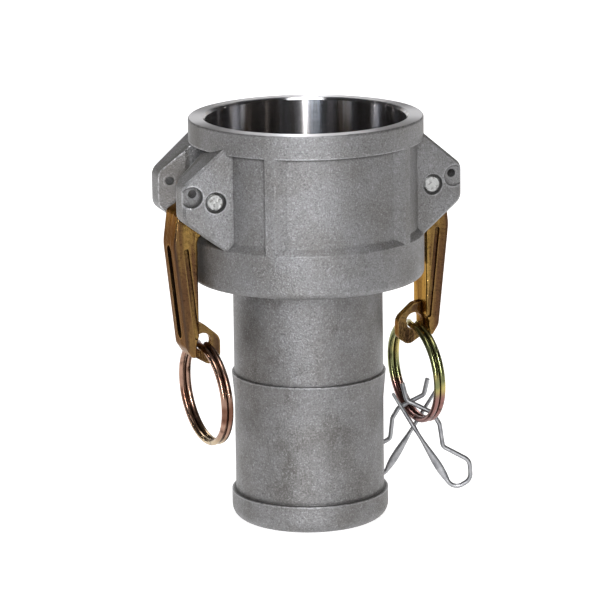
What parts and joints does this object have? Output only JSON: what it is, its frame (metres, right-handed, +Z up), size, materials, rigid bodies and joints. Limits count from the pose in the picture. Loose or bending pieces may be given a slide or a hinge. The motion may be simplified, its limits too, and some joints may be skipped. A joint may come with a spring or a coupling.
{
  "type": "cam and groove coupling",
  "caption": "Aluminium cam and groove coupling: a socket with two cam arms and pull rings, on a ribbed hose shank.",
  "frame": {"origin": "centre of the waterway at the open end of the hose shank", "axes": "+Z up the bore axis to the socket's mouth, +X towards the right-hand cam arm, -Y towards the front"},
  "size_m": [0.1009, 0.0744, 0.131],
  "materials": {
    "cast_aluminium": "blasted casting, machined bore and rim",
    "gasket_rubber": "matt black",
    "arm_bronze": "satin forging with darker hollows",
    "pin_steel": "plain turned steel",
    "ring_zinc": "yellow passivated zinc",
    "clip_steel": "bright spring wire"
  },
  "bodies": {
    "root": {"body_casting": "cast_aluminium", "gasket": "gasket_rubber", "cam_pin_right": "pin_steel", "cam_pin_left": "pin_steel"},
    "arm_right": {"cam_arm_right": "arm_bronze"},
    "arm_left": {"cam_arm_left": "arm_bronze"},
    "ring_right": {"pull_ring_right": "ring_zinc"},
    "ring_left": {"pull_ring_left": "ring_zinc"},
    "clip_front": {"safety_clip_front": "clip_steel"},
    "clip_back": {"safety_clip_back": "clip_steel"}
  },
  "joints": [
    {"name": "arm_right_lift", "type": "hinge", "parent": "root", "child": "arm_right", "pos_m": [0.0362, 0, 0.10885], "axis": [0, -1, 0], "range_deg": [0, 110]},
    {"name": "arm_left_lift", "type": "hinge", "parent": "root", "child": "arm_left", "pos_m": [-0.0362, 0, 0.10885], "axis": [0, 1, 0], "range_deg": [0, 110]},
    {"name": "ring_right_swing", "type": "hinge", "parent": "arm_right", "child": "ring_right", "pos_m": [0.036, 0, 0.061], "axis": [0, 1, 0], "range_deg": [-20, 3]},
    {"name": "ring_left_swing", "type": "hinge", "parent": "arm_left", "child": "ring_left", "pos_m": [-0.036, 0, 0.061], "axis": [0, 1, 0], "range_deg": [-10, 27]},
    {"name": "clip_front_swing", "type": "hinge", "parent": "ring_right", "child": "clip_front", "pos_m": [0.03833, 0.00024, 0.02797], "axis": [-0.342, -0.9397, 0], "range_deg": [-45, 60]},
    {"name": "clip_back_swing", "type": "hinge", "parent": "ring_right", "child": "clip_back", "pos_m": [0.03769, 0.00568, 0.02893], "axis": [0.3319, 0.9118, 0.2419], "range_deg": [-60, 8]}
  ]
}
